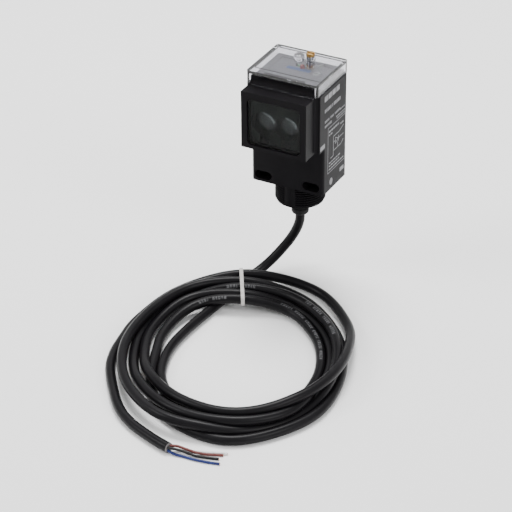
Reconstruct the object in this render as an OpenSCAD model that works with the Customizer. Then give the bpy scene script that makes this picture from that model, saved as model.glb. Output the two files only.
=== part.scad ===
// Photoelectric sensor: box body with a flat optic head, clear top cover,
// slotted and threaded base, and a coiled lead with four free wire ends.
// The origin is on the axis of the threaded boss, on the underside of the body.
// The optics look along -Y, and +Z is up.

/* [Body] */
// Width of the body
body_w = 46.4; // [44:0.1:50]
// From the thread axis to the back face
back_y = 13.6; // [12.5:0.1:16]
// From the thread axis to the front of the lower body
low_front_y = 17.5; // [16:0.1:19]
// How far the upper body stands in front of the lower body
upper_step = 4.7; // [3:0.1:6]
// Height of the step under the upper body
step_z = 30; // [28:0.5:32]
// Height of the rim that the cover sits on
rim_z = 66.3; // [66:0.1:68]
// Wall thickness of the body shell
wall = 2.2; // [1.8:0.1:2.4]
// Radius of the upright corners
corner_r = 2.4; // [1:0.1:3]

/* [Head] */
// Width of the optic head
head_w = 41.2; // [40:0.1:43]
// From the thread axis to the front of the optic head
head_front_y = 34.4; // [34:0.1:36]
// Underside of the optic head
head_bottom_z = 30.5; // [30:0.1:31]
// Top of the optic head
head_top_z = 65.8; // [65:0.1:66]
// Width of the window
window_w = 33.8; // [32:0.1:35]
// Height of the window
window_h = 29; // [27:0.1:30]
// Height of the window's middle
window_z = 47.3; // [47:0.1:48]
// Distance between the two lens axes
lens_gap = 14; // [13:0.1:15]
// Diameter of each lens
lens_d = 12; // [10:0.5:12.5]

/* [Base] */
// Height of the base block, from the underside to the seam
base_h = 10.3; // [9.5:0.1:12]
// Diameter of the threaded boss, M30 x 1.5
boss_d = 30; // [28:0.5:32]
// Length of the threaded boss
boss_len = 15; // [12:0.5:20]
// Distance between the middles of the two mounting slots
slot_pitch = 31; // [30.5:0.1:31.5]
// Length of each mounting slot
slot_len = 11; // [9:0.1:11.4]
// Width of each mounting slot
slot_w = 5.4; // [4.5:0.1:5.6]
// Height of the slots' middle line
slot_z = 4.3; // [4:0.1:5]

/* [Cover] */
// Width of the clear cover
cover_w = 45.2; // [44.8:0.1:45.8]
// Top face of the clear cover
cover_top_z = 73.9; // [73.5:0.1:76]
// Thickness of the cover's skirts and top
cover_t = 1.6; // [1.4:0.1:1.7]
// Sideways place of the cover screw
screw_x = 3.7; // [3.5:0.1:4]
// Front-to-back place of the cover screw
screw_y = 4.5; // [4.3:0.1:4.7]

/* [Controls] */
// Sideways place of the sensitivity dial
dial_x = 10.8; // [10.5:0.1:12]
// Diameter of the sensitivity dial
dial_d = 4.6; // [4:0.1:5]
// Sideways place of the light or dark selector
selector_x = 8.4; // [8.3:0.1:9]
// Diameter of the selector
selector_d = 3.2; // [3:0.1:3.4]

/* [Lead] */
// Diameter of the cable
cable_d = 5.8; // [5:0.1:6.2]
// Diameter of each insulated wire
wire_d = 1.5; // [1:0.1:1.6]
// Height of the surface that the coiled cable lies on
floor_z = -66; // [-67:1:-65]
// Radius of the middle of the coil
coil_r = 61; // [55:1:65]
// Width of the coil's ring, seen from above
coil_w = 24; // [20:1:28]
// Height of the coil
coil_h = 14; // [11:1:16]

/* [Hidden] */
$fn = 64;

half_w = body_w / 2;
up_front_y = low_front_y + upper_step;
head_half = head_w / 2;
collar_half = half_w - 2.6;      // the collar inside the cover's skirts
collar_back = back_y - 1.4;
front_wall_y = up_front_y - 2.2; // inner face of the wall under the cover's front lip
collar_top_z = rim_z + 0.7;      // the top plate lies on the collar
plate_t = 1.2;
plate_top_z = collar_top_z + plate_t;
cover_under_z = cover_top_z - 1.8;
cover_half = cover_w / 2;
cover_front_y = 23.9;
cover_back_y = back_y + 0.6;
gasket_z = rim_z - 0.5;          // the rim's groove that holds the cover gasket
cover_z = rim_z + 0.1;           // underside of the cover's skirts
cavity_x = half_w - wall;
cavity_back = back_y - wall;

boss_bore_r = 9.5;               // room inside the boss
neck_bore_r = 7.5;               // way up from the boss into the body
boss_floor = 2;                  // thickness of the boss's end wall
relief_neck_d = 8.6;
relief_bulge_d = 10.4;
relief_end_z = -boss_len - 10.5;

window_back_y = -head_front_y + 0.8 + 1.6;
shelf_y = window_back_y + 0.6;   // back of the window gasket
sight_w = window_w - 2.6;        // opening behind the window
sight_h = window_h - 2.6;

holder_front_y = shelf_y - 0.4;
holder_back_y = -18;
lens_seat_y = -27.2;
recess_r = 7.6;

optic_board_y = holder_back_y;   // front face of the optic board
board_t = 1.2;
main_board_y = 7.6;              // front face of the main board
main_board_t = 1.6;
top_board_z = 60.5;
pot_z = top_board_z + board_t;
dial_y = -1.8;
selector_y = 9.2;
dome_x = -3.3;
dome_y = 4.2;
led_x = 0.2;
led_y = 1.3;
screw_r = 1.5;
running = 0.08;                  // running clearance round the cover screw
lead_x = [-3.6, -1.2, 1.2, 3.6]; // where the four cores stand inside the body
lead_y = 4.4;

// Route of the cable from the strain relief down to the coil
LEAD_ROUTE = [[0, 0, -25.5], [0, 0, -28], [-0.2, -0.2, -31], [-1, -0.6, -34.5],
    [-2.5, -1.2, -38.5], [-4.6, -2.2, -43], [-7.2, -3.8, -47.5], [-10.2, -6.4, -52],
    [-13.4, -10, -56.5], [-16.6, -14.5, -60.2], [-19.2, -20, -62.4],
    [-21, -27, -63.1], [-22, -34, -63.1], [-22.5, -41, -63.1]];
// Route of the cable from the coil to its cut end
TAIL_ROUTE = [[-55, -108, -63.1], [-54, -118, -63.1], [-51.5, -131, -63.1],
    [-46.5, -143, -63.1], [-40, -153, -63.1], [-33, -162, -63.1],
    [-25.5, -171, -63.1], [-17, -178.8, -63.1], [-7, -184.8, -63.1],
    [3, -189, -63.1], [11, -191.8, -63.1], [19, -194, -63.1]];
// Routes of the four bared wires, from the cut end
BROWN_ROUTE = [[19.6, -193.1, -62.3], [23, -192.4, -62.4], [28, -191.8, -63.4],
    [33, -191.4, -64.4], [39, -189.6, -65], [48, -186.5, -65.1]];
WHITE_ROUTE = [[19.8, -193, -64], [24, -191.2, -64.9], [30, -189.8, -65.2],
    [37, -188.2, -65.2], [43, -186.2, -65.2], [49, -184.4, -65.2]];
BLACK_ROUTE = [[19.2, -194.9, -62.3], [23, -194.6, -62.6], [28.5, -193.9, -63.9],
    [34, -193.4, -65], [41, -192, -65.2], [48, -190.6, -65.2]];
BLUE_ROUTE = [[19.3, -195.1, -64], [23.5, -196, -64.9], [29, -196.2, -65.2],
    [36, -196.4, -65.2], [43.5, -195.6, -65.2], [51, -194.2, -65.2]];
COIL_X = 14;
COIL_Y = -103;
TIE_ANGLE = 116;                 // where the tie holds the coil, seen from above

function unit(v) = v / norm(v);
// Direction of a route at point i, from the two points beside it
function heading(path, i) =
    unit(path[min(i + 1, len(path) - 1)] - path[max(i - 1, 0)]);
// Sideways direction of the ring at point i, level with the floor
function side(path, i, first) =
    let (h = heading(path, i))
    unit(cross(h, first));
// The ring of points round point i of a route
function ring(path, i, r, n, first) =
    let (h = heading(path, i), s = side(path, i, first), u = cross(s, h))
    [for (k = [0 : n - 1]) path[i] + r * (cos(360 * k / n) * s + sin(360 * k / n) * u)];

// A round tube swept along a route as one closed solid
module tube(path, d, n, first) {
    rings = [for (i = [0 : len(path) - 1]) each ring(path, i, d / 2, n, first)];
    last = (len(path) - 1) * n;
    walls = [for (i = [0 : len(path) - 2]) for (k = [0 : n - 1])
        let (a = i * n + k, b = i * n + (k + 1) % n)
        each [[a, b, b + n], [a, b + n, a + n]]];
    caps = [[for (k = [n - 1 : -1 : 0]) k], [for (k = [0 : n - 1]) last + k]];
    polyhedron(points = rings, faces = concat([for (w = walls) [w[2], w[1], w[0]]],
        [for (c = caps) [for (k = [n - 1 : -1 : 0]) c[k]]]));
}

// A box given by its two corners
module block(low, high) {
    translate(low)
        cube(high - low);
}

// An upright prism with round corners, given in plan by its two corners
module rounded(low, high, r) {
    translate([low[0], low[1] + r, low[2]])
        cube([high[0] - low[0], high[1] - low[1] - 2 * r, high[2] - low[2]]);
    translate([low[0] + r, low[1], low[2]])
        cube([high[0] - low[0] - 2 * r, high[1] - low[1], high[2] - low[2]]);
    for (x = [low[0] + r, high[0] - r])
        for (y = [low[1] + r, high[1] - r])
            translate([x, y, low[2]])
                cylinder(h = high[2] - low[2], r = r, $fn = 32);
}

// A cylinder along Y from y0 to y1
module rod_y(x, z, y0, y1, r) {
    translate([x, y0, z])
        rotate([-90, 0, 0])
            cylinder(h = y1 - y0, r = r);
}

// A rounded plate that faces -Y, from y0 to y1, its middle at height z
module front_plate(w, h, z, y0, y1, r) {
    translate([0, 0, z])
        rotate([90, 0, 0])
            rounded([-w / 2, -h / 2, -y1], [w / 2, h / 2, -y0], r);
}

// One mounting slot through the base from front to back
module slot(x) {
    run = slot_len / 2 - slot_w / 2;
    y0 = -low_front_y - 1;
    y1 = back_y + 1;
    for (end = [-run, run])
        rod_y(x + end, slot_z, y0, y1, slot_w / 2);
    block([x - run, y0, slot_z - slot_w / 2], [x + run, y1, slot_z + slot_w / 2]);
}

module base_block() {
    color("#1c1c20")
    difference() {
        union() {
            rounded([-half_w, -low_front_y, 0], [half_w, back_y, base_h], corner_r);
            translate([0, 0, -boss_len])
                cylinder(h = boss_len, r = boss_d / 2, $fn = 96);
            // root of the boss, inside the block
            translate([0, 0, -boss_len])
                cylinder(h = boss_len + 1, r = boss_d / 2 - 2, $fn = 96);
        }
        for (x = [-slot_pitch / 2, slot_pitch / 2])
            slot(x);
        translate([0, 0, -boss_len - 1])
            cylinder(h = boss_floor + 2, r = relief_neck_d / 2);
        translate([0, 0, -boss_len + boss_floor])
            cylinder(h = boss_len - boss_floor, r = boss_bore_r);
        translate([0, 0, -1])
            cylinder(h = base_h + 2, r = neck_bore_r);
        seal_ring(base_h - 1.2, base_h + 1, 2.2, 1.4);
    }
}

// A frame in plan along the body's outline, inset from it
module seal_ring(z0, z1, inset, width) {
    difference() {
        block([-half_w + inset, -low_front_y + inset, z0],
            [half_w - inset, back_y - inset, z1]);
        block([-half_w + inset + width, -low_front_y + inset + width, z0 - 1],
            [half_w - inset - width, back_y - inset - width, z1 + 1]);
    }
}

module base_seal() {
    color("#303034")
    seal_ring(base_h - 1.2, base_h, 2.2, 1.4);
}

// The head block with its hollow front, joined to the body by curved fillets
module head_block() {
    fillet = 2.4;
    top_fillet = 4;
    block([-head_half, -head_front_y, head_bottom_z],
        [head_half, -up_front_y + 1, head_top_z]);
    for (s = [-1, 1])
        difference() {
            block([min(s * head_half, s * (head_half + fillet)),
                -up_front_y - fillet, head_bottom_z],
                [max(s * head_half, s * (head_half + fillet)),
                -up_front_y + 0.5, head_top_z]);
            translate([s * (head_half + fillet), -up_front_y - fillet, head_bottom_z - 1])
                cylinder(h = head_top_z - head_bottom_z + 2, r = fillet);
        }
    difference() {
        block([-head_half, -up_front_y - top_fillet, head_top_z - 0.5],
            [head_half, -up_front_y + 0.5, head_top_z + top_fillet]);
        translate([-head_half - 1, -up_front_y - top_fillet, head_top_z + top_fillet])
            rotate([0, 90, 0])
                cylinder(h = head_w + 2, r = top_fillet);
    }
}

module housing() {
    color("#1a1a1e")
    difference() {
        union() {
            rounded([-half_w, -low_front_y, base_h], [half_w, back_y, rim_z], corner_r);
            rounded([-half_w, -up_front_y, step_z], [half_w, back_y - 6, rim_z], 0.6);
            // front wall that rises behind the cover's front lip
            block([-collar_half, -up_front_y, rim_z - 1],
                [collar_half, -front_wall_y, cover_under_z - 1.8]);
            block([-12.7, -up_front_y, rim_z - 1],
                [12.7, -front_wall_y, cover_under_z - 0.3]);
            // collar that carries the top plate inside the cover
            block([-collar_half, -front_wall_y - 1, rim_z - 4],
                [collar_half, collar_back, collar_top_z]);
            head_block();
        }
        // lower and upper room for the boards
        block([-cavity_x, -low_front_y + wall, base_h - 1],
            [cavity_x, cavity_back, step_z + 2]);
        block([-cavity_x, -up_front_y + wall, step_z + 2],
            [cavity_x, cavity_back, rim_z - 4]);
        // opening under the top plate
        block([-collar_half + 2, -front_wall_y + 1.6, rim_z - 5],
            [collar_half - 2, collar_back - 1, rim_z + 3]);
        // room in the head behind the window
        block([-head_half + 2.4, shelf_y + 1.4, head_bottom_z + 2.2],
            [head_half - 2.4, -up_front_y + wall + 1, head_top_z - 3]);
        front_plate(sight_w, sight_h, window_z, -head_front_y, -up_front_y, 1.6);
        front_plate(window_w, window_h, window_z, -head_front_y - 1, shelf_y, 3);
        gasket_frame(gasket_z, rim_z + 1);
    }
}

// The gasket on three sides of the rim, under the cover's skirts
module gasket_frame(z0, z1) {
    difference() {
        block([-half_w + 0.8, -up_front_y + 0.3, z0], [half_w - 0.8, back_y - 0.4, z1]);
        block([-collar_half - 0.2, -up_front_y - 1, z0 - 1],
            [collar_half + 0.2, collar_back + 0.1, z1 + 1]);
    }
}

module window() {
    color("#3b4040", 0.7)
    front_plate(window_w - 0.2, window_h - 0.2, window_z,
        window_back_y - 1.6, window_back_y, 2.9);
}

module window_gasket() {
    color("#222226")
    difference() {
        front_plate(window_w - 0.2, window_h - 0.2, window_z, window_back_y, shelf_y, 2.9);
        front_plate(sight_w, sight_h, window_z, window_back_y - 1, shelf_y + 1, 1.6);
    }
}

module lens_holder() {
    front_w = sight_w - 0.8;
    front_h = sight_h - 0.8;
    color("#26282a")
    difference() {
        union() {
            block([-front_w / 2, holder_front_y, window_z - front_h / 2],
                [front_w / 2, holder_back_y, window_z + front_h / 2]);
            block([-17.2, shelf_y + 1.6, window_z - 13.6],
                [17.2, shelf_y + 3.6, window_z + 14.4]);
        }
        for (s = [-1, 1]) {
            x = s * lens_gap / 2;
            rod_y(x, window_z, holder_front_y - 1, lens_seat_y - 0.2, recess_r);
            rod_y(x, window_z, lens_seat_y - 1, lens_seat_y + 2, lens_d / 2);
            rod_y(x, window_z, lens_seat_y + 1, holder_back_y + 1, lens_d / 2 - 1.4);
            // keyway below each lens
            block([x - 3, holder_front_y - 1, window_z - 12.4],
                [x + 3, lens_seat_y - 0.6, window_z - 6]);
        }
        for (x = [-13.6, 13.6])
            for (z = [window_z - 11, window_z + 11])
                rod_y(x, z, holder_back_y - 4.4, holder_back_y + 1, 0.9);
    }
}

// A plano-convex lens on the axis x, its dome towards the window
module lens(x) {
    dome_h = 3.2;
    edge_r = lens_d / 2;
    sphere_r = (edge_r * edge_r + dome_h * dome_h) / (2 * dome_h);
    translate([x, 0, window_z])
        rotate([90, 0, 0]) {
            translate([0, 0, -lens_seat_y - 2])
                cylinder(h = 2, r = edge_r);
            intersection() {
                translate([0, 0, -lens_seat_y + dome_h - sphere_r])
                    sphere(r = sphere_r, $fn = 72);
                translate([0, 0, -lens_seat_y])
                    cylinder(h = dome_h + 1, r = edge_r);
            }
        }
}

module emitter_lens() {
    color("#b8c0c4", 0.6)
    lens(-lens_gap / 2);
}

module receiver_lens() {
    color("#b8c0c4", 0.6)
    lens(lens_gap / 2);
}

module emitter_led() {
    color("#d8a0a0")
    rod_y(-lens_gap / 2, window_z, optic_board_y - 3.2, optic_board_y, 2.5);
}

module receiver_diode() {
    color("#2a2a30")
    block([lens_gap / 2 - 2.5, optic_board_y - 1.8, window_z - 2.5],
        [lens_gap / 2 + 2.5, optic_board_y, window_z + 2.5]);
}

module optic_board() {
    color("#1f6b3a")
    difference() {
        block([-16.6, optic_board_y, window_z - 13], [16.6, optic_board_y + board_t, window_z + 13]);
        for (x = [-13.6, 13.6])
            for (z = [window_z - 11, window_z + 11])
                rod_y(x, z, optic_board_y - 1, optic_board_y + board_t + 1, 1.1);
    }
}

module board_screws() {
    color("#b9bcc0")
    for (x = [-13.6, 13.6])
        for (z = [window_z - 11, window_z + 11]) {
            rod_y(x, z, optic_board_y - 4, optic_board_y + board_t, 0.9);
            rod_y(x, z, optic_board_y + board_t, optic_board_y + board_t + 1.2, 1.8);
        }
}

module flex_link() {
    color("#c98a2c")
    block([-6, optic_board_y + board_t, 52], [6, main_board_y, 52.3]);
}

module main_board() {
    color("#1f6b3a")
    block([-19, main_board_y, 13.2], [19, main_board_y + main_board_t, 58]);
}

module output_module() {
    color("#202024")
    block([-16, main_board_y - 9, 20], [-2, main_board_y, 34]);
}

module filter_capacitor() {
    color("#30343c")
    rod_y(9, 27, main_board_y - 12, main_board_y, 4);
}

module board_chips() {
    color("#28282c")
    for (i = [0 : 3])
        block([-15 + 8.4 * i, main_board_y - 1.4, 39], [-10.4 + 8.4 * i, main_board_y, 45]);
}

module terminal_header() {
    color("#e6e4da")
    block([-5.6, lead_y - 2, base_h + 2.9], [5.6, main_board_y, base_h + 8]);
}

module board_link() {
    color("#242428")
    block([-8, main_board_y - 2.5, 55], [8, main_board_y, top_board_z]);
}

module top_board() {
    color("#1f6b3a")
    block([-17, -14, top_board_z], [17, main_board_y + 2.4, top_board_z + board_t]);
}

// A light-emitting diode that stands on the top board
module diode(x, y, top, r) {
    translate([x, y, pot_z])
        cylinder(h = top - pot_z - r, r = r);
    translate([x, y, top - r])
        intersection() {
            sphere(r = r, $fn = 48);
            cylinder(h = r, r = r + 1);
        }
}

module output_led() {
    color("#c02020")
    diode(led_x, led_y, plate_top_z + 2, 1.4);
}

module power_led() {
    color("#2c8c40")
    diode(dome_x, dome_y, plate_top_z - 0.2, 1.4);
}

module sensitivity_pot() {
    color("#3a62a8")
    block([dial_x - 3.2, dial_y - 3.2, pot_z], [dial_x + 3.2, dial_y + 3.2, pot_z + 3.6]);
}

module mode_switch() {
    color("#e8e6e0")
    block([selector_x - 2.1, selector_y - 2.1, pot_z],
        [selector_x + 2.1, selector_y + 0.8, pot_z + 3.4]);
}

// A round control with a driver slot across its top
module slotted_control(x, y, z0, d, top) {
    translate([x, y, 0])
        difference() {
            translate([0, 0, z0])
                cylinder(h = top - z0, r = d / 2);
            block([-d, -0.4, top - 0.8], [d, 0.4, top + 1]);
        }
}

module sensitivity_dial() {
    color("#f0f0ec")
    slotted_control(dial_x, dial_y, pot_z + 3.7, dial_d, plate_top_z);
}

module mode_selector() {
    color("#303034")
    slotted_control(selector_x, selector_y, pot_z + 3.5, selector_d, plate_top_z);
}

module top_plate() {
    rim = 2.6;
    color("#a6a6ab")
    difference() {
        union() {
            block([-collar_half + 0.2, -front_wall_y + 0.3, collar_top_z],
                [collar_half - 0.2, collar_back - 0.2, plate_top_z]);
            translate([screw_x, screw_y, collar_top_z - 4.6])
                cylinder(h = 5, r = 3.3);
        }
        // shallow sunk field inside the plate's border
        block([-collar_half + rim + 1.6, -front_wall_y + rim + 1.4, plate_top_z - 0.3],
            [collar_half - rim - 1.6, collar_back - rim - 1, plate_top_z + 1]);
        translate([screw_x, screw_y, collar_top_z - 5])
            cylinder(h = 8, r = 2.3);
        translate([dial_x, dial_y, collar_top_z - 1])
            cylinder(h = 4, r = dial_d / 2 + 0.3);
        translate([selector_x, selector_y, collar_top_z - 1])
            cylinder(h = 4, r = selector_d / 2 + 0.3);
        translate([led_x, led_y, collar_top_z - 1])
            cylinder(h = 4, r = 1.6);
        translate([dome_x, dome_y, collar_top_z - 1])
            cylinder(h = 4, r = 2);
    }
}

module screw_insert() {
    color("#b58a3c")
    translate([screw_x, screw_y, collar_top_z - 4.6])
        difference() {
            cylinder(h = 5.2, r = 2.3);
            translate([0, 0, -1])
                cylinder(h = 8, r = screw_r + running);
        }
}

module cover_gasket() {
    color("#8d8f94")
    gasket_frame(gasket_z, rim_z);
}

module clear_cover() {
    color("#e8eef2", 0.35)
    difference() {
        union() {
            cover_shell();
            // clear post that the cover screw runs in
            translate([screw_x, screw_y, plate_top_z + 0.2])
                cylinder(h = 7.6, r = 2.8);
        }
        translate([screw_x, screw_y, plate_top_z - 1])
            cylinder(h = 12, r = screw_r + running);
        translate([dome_x, dome_y, cover_under_z - 1])
            cylinder(h = 4, r = 3.1);
    }
}

// A clear box lid, its front open below the lip but for a short return at each corner
module cover_shell() {
    difference() {
        rounded([-cover_half, -cover_front_y, cover_z],
            [cover_half, cover_back_y, cover_top_z], 1.2);
        block([-cover_half + cover_t, -up_front_y - 0.3, cover_z - 1],
            [cover_half - cover_t, cover_back_y - cover_t, cover_under_z]);
        block([-cover_half + cover_t + 0.3, -cover_front_y - 1, cover_z - 1],
            [cover_half - cover_t - 0.3, -up_front_y, cover_under_z]);
    }
}

module indicator_dome() {
    color("#eef2f4", 0.5)
    translate([dome_x, dome_y, 0]) {
        translate([0, 0, cover_under_z - 0.8])
            cylinder(h = 4.4, r = 3.1);
        translate([0, 0, plate_top_z + 0.2])
            cylinder(h = cover_under_z - 0.8 - plate_top_z - 0.2, r = 1.7);
    }
}

module cover_screw() {
    head_z = plate_top_z + 7.9;
    color("#9c7430")
    translate([screw_x, screw_y, 0])
        difference() {
            union() {
                translate([0, 0, collar_top_z - 4])
                    cylinder(h = head_z - collar_top_z + 4.1, r = screw_r);
                translate([0, 0, head_z])
                    cylinder(h = 2, r = 2.5);
            }
            block([-4, -0.45, head_z + 1], [4, 0.45, head_z + 3]);
        }
}

module strain_relief() {
    color("#18181a")
    difference() {
        union() {
            translate([0, 0, relief_end_z + 1])
                cylinder(h = -boss_len + boss_floor - relief_end_z - 1, r = relief_neck_d / 2);
            rotate_extrude()
                hull() {
                    translate([relief_bulge_d / 2 - 1.6, relief_end_z + 1.6])
                        circle(r = 1.6, $fn = 32);
                    translate([relief_bulge_d / 2 - 1.6, relief_end_z + 2.6])
                        circle(r = 1.6, $fn = 32);
                    translate([0, relief_end_z])
                        square([1, 4.2]);
                }
            translate([0, 0, -boss_len + boss_floor])
                cylinder(h = 2, r = 6.6);
        }
        translate([0, 0, relief_end_z - 1])
            cylinder(h = 20, r = cable_d / 2);
    }
}

module cable_clamp() {
    color("#3a3a3e")
    translate([0, 0, -boss_len + boss_floor + 2])
        difference() {
            cylinder(h = 3.6, r = 7);
            translate([0, 0, -1])
                cylinder(h = 6, r = cable_d / 2);
        }
}

module boss_potting() {
    potting_z = -boss_len + boss_floor + 5.6;
    color("#101012")
    translate([0, 0, potting_z])
        difference() {
            cylinder(h = -0.2 - potting_z, r = boss_bore_r);
            translate([0, 0, -1])
                cylinder(h = 5, r = cable_d / 2);
        }
}

module cable_entry() {
    color("#141416")
    translate([0, 0, relief_end_z])
        cylinder(h = -boss_len + boss_floor + 9.6 - relief_end_z, r = cable_d / 2);
}

module inner_leads() {
    color("#8a5a3a")
    for (x = lead_x)
        translate([x, lead_y, -0.2])
            cylinder(h = base_h + 3.1, r = 0.7);
}

module cable_lead() {
    color("#141416")
    tube(LEAD_ROUTE, cable_d, 10, [0.3, 1, 0]);
}

module cable_coil() {
    color("#141416")
    translate([COIL_X, COIL_Y, floor_z])
        rotate_extrude($fn = 72)
            translate([coil_r - coil_w / 2, 0])
                square([coil_w, coil_h]);
}

module cable_tail() {
    color("#141416")
    tube(TAIL_ROUTE, cable_d, 10, [0, 0, 1]);
}

module cable_tie() {
    tie_w = 2.8;
    tie_t = 0.8;
    color("#e4e0dc")
    translate([COIL_X, COIL_Y, floor_z])
        rotate([0, 0, TIE_ANGLE])
            difference() {
                block([coil_r - coil_w / 2 - tie_t, -tie_w / 2, 0.1],
                    [coil_r + coil_w / 2 + tie_t + 1, tie_w / 2, coil_h + tie_t]);
                block([coil_r - coil_w / 2 - 0.06, -tie_w, -1],
                    [coil_r + coil_w / 2 + 0.1, tie_w, coil_h]);
            }
}

// One bared wire
module wire(path) {
    tube(path, wire_d, 8, [0, 0, 1]);
}

module wire_brown() {
    color("#5a2a22")
    wire(BROWN_ROUTE);
}

module wire_white() {
    color("#dcdcdc")
    wire(WHITE_ROUTE);
}

module wire_black() {
    color("#16161a")
    wire(BLACK_ROUTE);
}

module wire_blue() {
    color("#28407e")
    wire(BLUE_ROUTE);
}

base_block();
base_seal();
housing();
window();
window_gasket();
lens_holder();
emitter_lens();
receiver_lens();
emitter_led();
receiver_diode();
optic_board();
board_screws();
flex_link();
main_board();
output_module();
filter_capacitor();
board_chips();
terminal_header();
board_link();
top_board();
output_led();
power_led();
sensitivity_pot();
mode_switch();
sensitivity_dial();
mode_selector();
top_plate();
screw_insert();
cover_gasket();
clear_cover();
indicator_dome();
cover_screw();
strain_relief();
cable_clamp();
boss_potting();
inner_leads();
cable_entry();
cable_lead();
cable_coil();
cable_tail();
cable_tie();
wire_brown();
wire_white();
wire_black();
wire_blue();
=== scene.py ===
# %% [markdown]
# Photoelectric sensor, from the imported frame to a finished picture.
# The frame holds the measured solids. Everything here is built round them in
# the same axes, in metres: the lens side looks along -Y, +Z is up, and the
# origin is on the axis of the threaded boss, on the underside of the body.

# %% Load the frame
import bmesh
import bpy
import math
import numpy as np
from mathutils import Matrix, Vector


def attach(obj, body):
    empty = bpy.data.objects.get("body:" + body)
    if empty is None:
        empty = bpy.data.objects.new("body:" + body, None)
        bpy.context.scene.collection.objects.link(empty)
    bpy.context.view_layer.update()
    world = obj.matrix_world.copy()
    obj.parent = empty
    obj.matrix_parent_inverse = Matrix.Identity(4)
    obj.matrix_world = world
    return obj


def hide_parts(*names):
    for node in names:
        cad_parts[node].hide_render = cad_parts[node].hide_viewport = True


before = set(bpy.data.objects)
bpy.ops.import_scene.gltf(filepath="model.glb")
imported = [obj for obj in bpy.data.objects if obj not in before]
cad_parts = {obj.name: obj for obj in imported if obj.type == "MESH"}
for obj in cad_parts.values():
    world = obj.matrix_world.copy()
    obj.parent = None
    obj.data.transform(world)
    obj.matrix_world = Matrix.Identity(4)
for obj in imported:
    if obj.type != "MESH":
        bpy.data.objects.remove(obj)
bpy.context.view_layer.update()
mm = 0.001
scene = bpy.context.scene

# %% [markdown]
# A few helpers for working as by hand. An operator acts on whatever is
# selected, so each step starts from nothing selected, and faces, edges and
# points are then picked by their place or the way they face.

# %% Selecting
def select_nothing():
    """Every object is deselected."""
    for other in bpy.context.selected_objects:
        other.select_set(False)


def pick_object(obj):
    """Only obj is selected and active."""
    select_nothing()
    obj.select_set(True)
    bpy.context.view_layer.objects.active = obj


def newest(name):
    """The object that the last operator made, renamed."""
    obj = bpy.context.view_layer.objects.active
    obj.name = obj.data.name = name
    return obj


def add_object(name, data):
    """A new object round the data, placed in the scene."""
    obj = bpy.data.objects.new(name, data)
    scene.collection.objects.link(obj)
    return obj


def edit_all(obj):
    """In edit mode with the whole mesh selected."""
    pick_object(obj)
    bpy.ops.object.mode_set(mode="EDIT")
    bpy.ops.mesh.select_all(action="SELECT")


def select_parts(obj, kind, test):
    """In edit mode with only the parts of one kind selected that pass."""
    pick_object(obj)
    bpy.ops.object.mode_set(mode="EDIT")
    bpy.ops.mesh.select_mode(type=kind)
    bpy.ops.mesh.select_all(action="DESELECT")
    data = bmesh.from_edit_mesh(obj.data)
    parts = {"VERT": data.verts, "EDGE": data.edges, "FACE": data.faces}[kind]
    chosen = [part for part in parts if test(part)]
    for part in chosen:
        part.select = True
    data.select_flush_mode()
    bmesh.update_edit_mesh(obj.data)
    return len(chosen)


def select_faces(obj, test):
    """Faces that pass, tested by their centre in mm and their normal."""
    return select_parts(obj, "FACE", lambda face: test(face.calc_center_median() / mm, face.normal))


def select_points(obj, test):
    """Points that pass, tested by their place in mm."""
    return select_parts(obj, "VERT", lambda point: test(point.co / mm))


def select_edges(obj, test):
    """Edges that pass, tested by the places of their two ends in mm."""
    return select_parts(obj, "EDGE", lambda edge: test(edge.verts[0].co / mm, edge.verts[1].co / mm))


def object_mode():
    """Back from editing a mesh."""
    bpy.ops.object.mode_set(mode="OBJECT")


# %% [markdown]
# Every piece ends the same way. Its place goes into its mesh, its sharp edges
# get the small radius that catches light, its rounded faces shade as one, and
# it is told its material and the body that it moves with.

# %% Finishing
def settle(obj):
    """Its place, turn and size go into its mesh, so the object is at the origin."""
    pick_object(obj)
    bpy.ops.object.transform_apply(location=True, rotation=True, scale=True)


def smooth(obj, degrees=35):
    """Rounded faces shade as one, and large flat ones stay flat up to their edges."""
    pick_object(obj)
    bpy.ops.object.shade_smooth_by_angle(angle=math.radians(degrees))
    weigh = obj.modifiers.new("flats", "WEIGHTED_NORMAL")
    weigh.keep_sharp = True
    weigh.weight = 90
    bpy.ops.object.modifier_apply(modifier="flats")


def round_edges(obj, width, segments=2, degrees=30):
    """A small radius on every sharp edge, as a mould or a cutter leaves."""
    pick_object(obj)
    bevel = obj.modifiers.new("edges", "BEVEL")
    bevel.width = width * mm
    bevel.segments = segments
    bevel.limit_method = "ANGLE"
    bevel.angle_limit = math.radians(degrees)
    bevel.miter_outer = "MITER_ARC"
    bevel.use_clamp_overlap = True
    bpy.ops.object.modifier_apply(modifier="edges")


def copy_of(node, name, width=0.0, segments=2, flat=2.0):
    """A copy of a frame node with its loose triangles merged and its edges rounded."""
    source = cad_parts[node]
    data = source.data.copy()
    data.transform(source.matrix_world)
    data.name = name
    data.materials.clear()
    obj = add_object(name, data)
    edit_all(obj)
    bpy.ops.mesh.remove_doubles(threshold=0.004 * mm)
    if flat:
        bpy.ops.mesh.dissolve_limited(angle_limit=math.radians(flat))
    object_mode()
    if width:
        round_edges(obj, width, segments)
    smooth(obj)
    return obj


def finish_piece(obj, body, material, stands_for=()):
    """Its material, the body it moves with and the nodes it stands for."""
    settle(obj)
    obj.data.materials.clear()
    obj.data.materials.append(material)
    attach(obj, body)
    if stands_for:
        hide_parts(*stands_for)
    triangles = sum(len(p.vertices) - 2 for p in obj.data.polygons)
    print(f"{obj.name}: {triangles} triangles on {body}")
    return obj


# %% [markdown]
# The camera stands well back with a long lens, a little right of the front and
# above, so the upright edges stay nearly parallel. It is made before anything
# else, because the cable's lay is judged through it.

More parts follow.
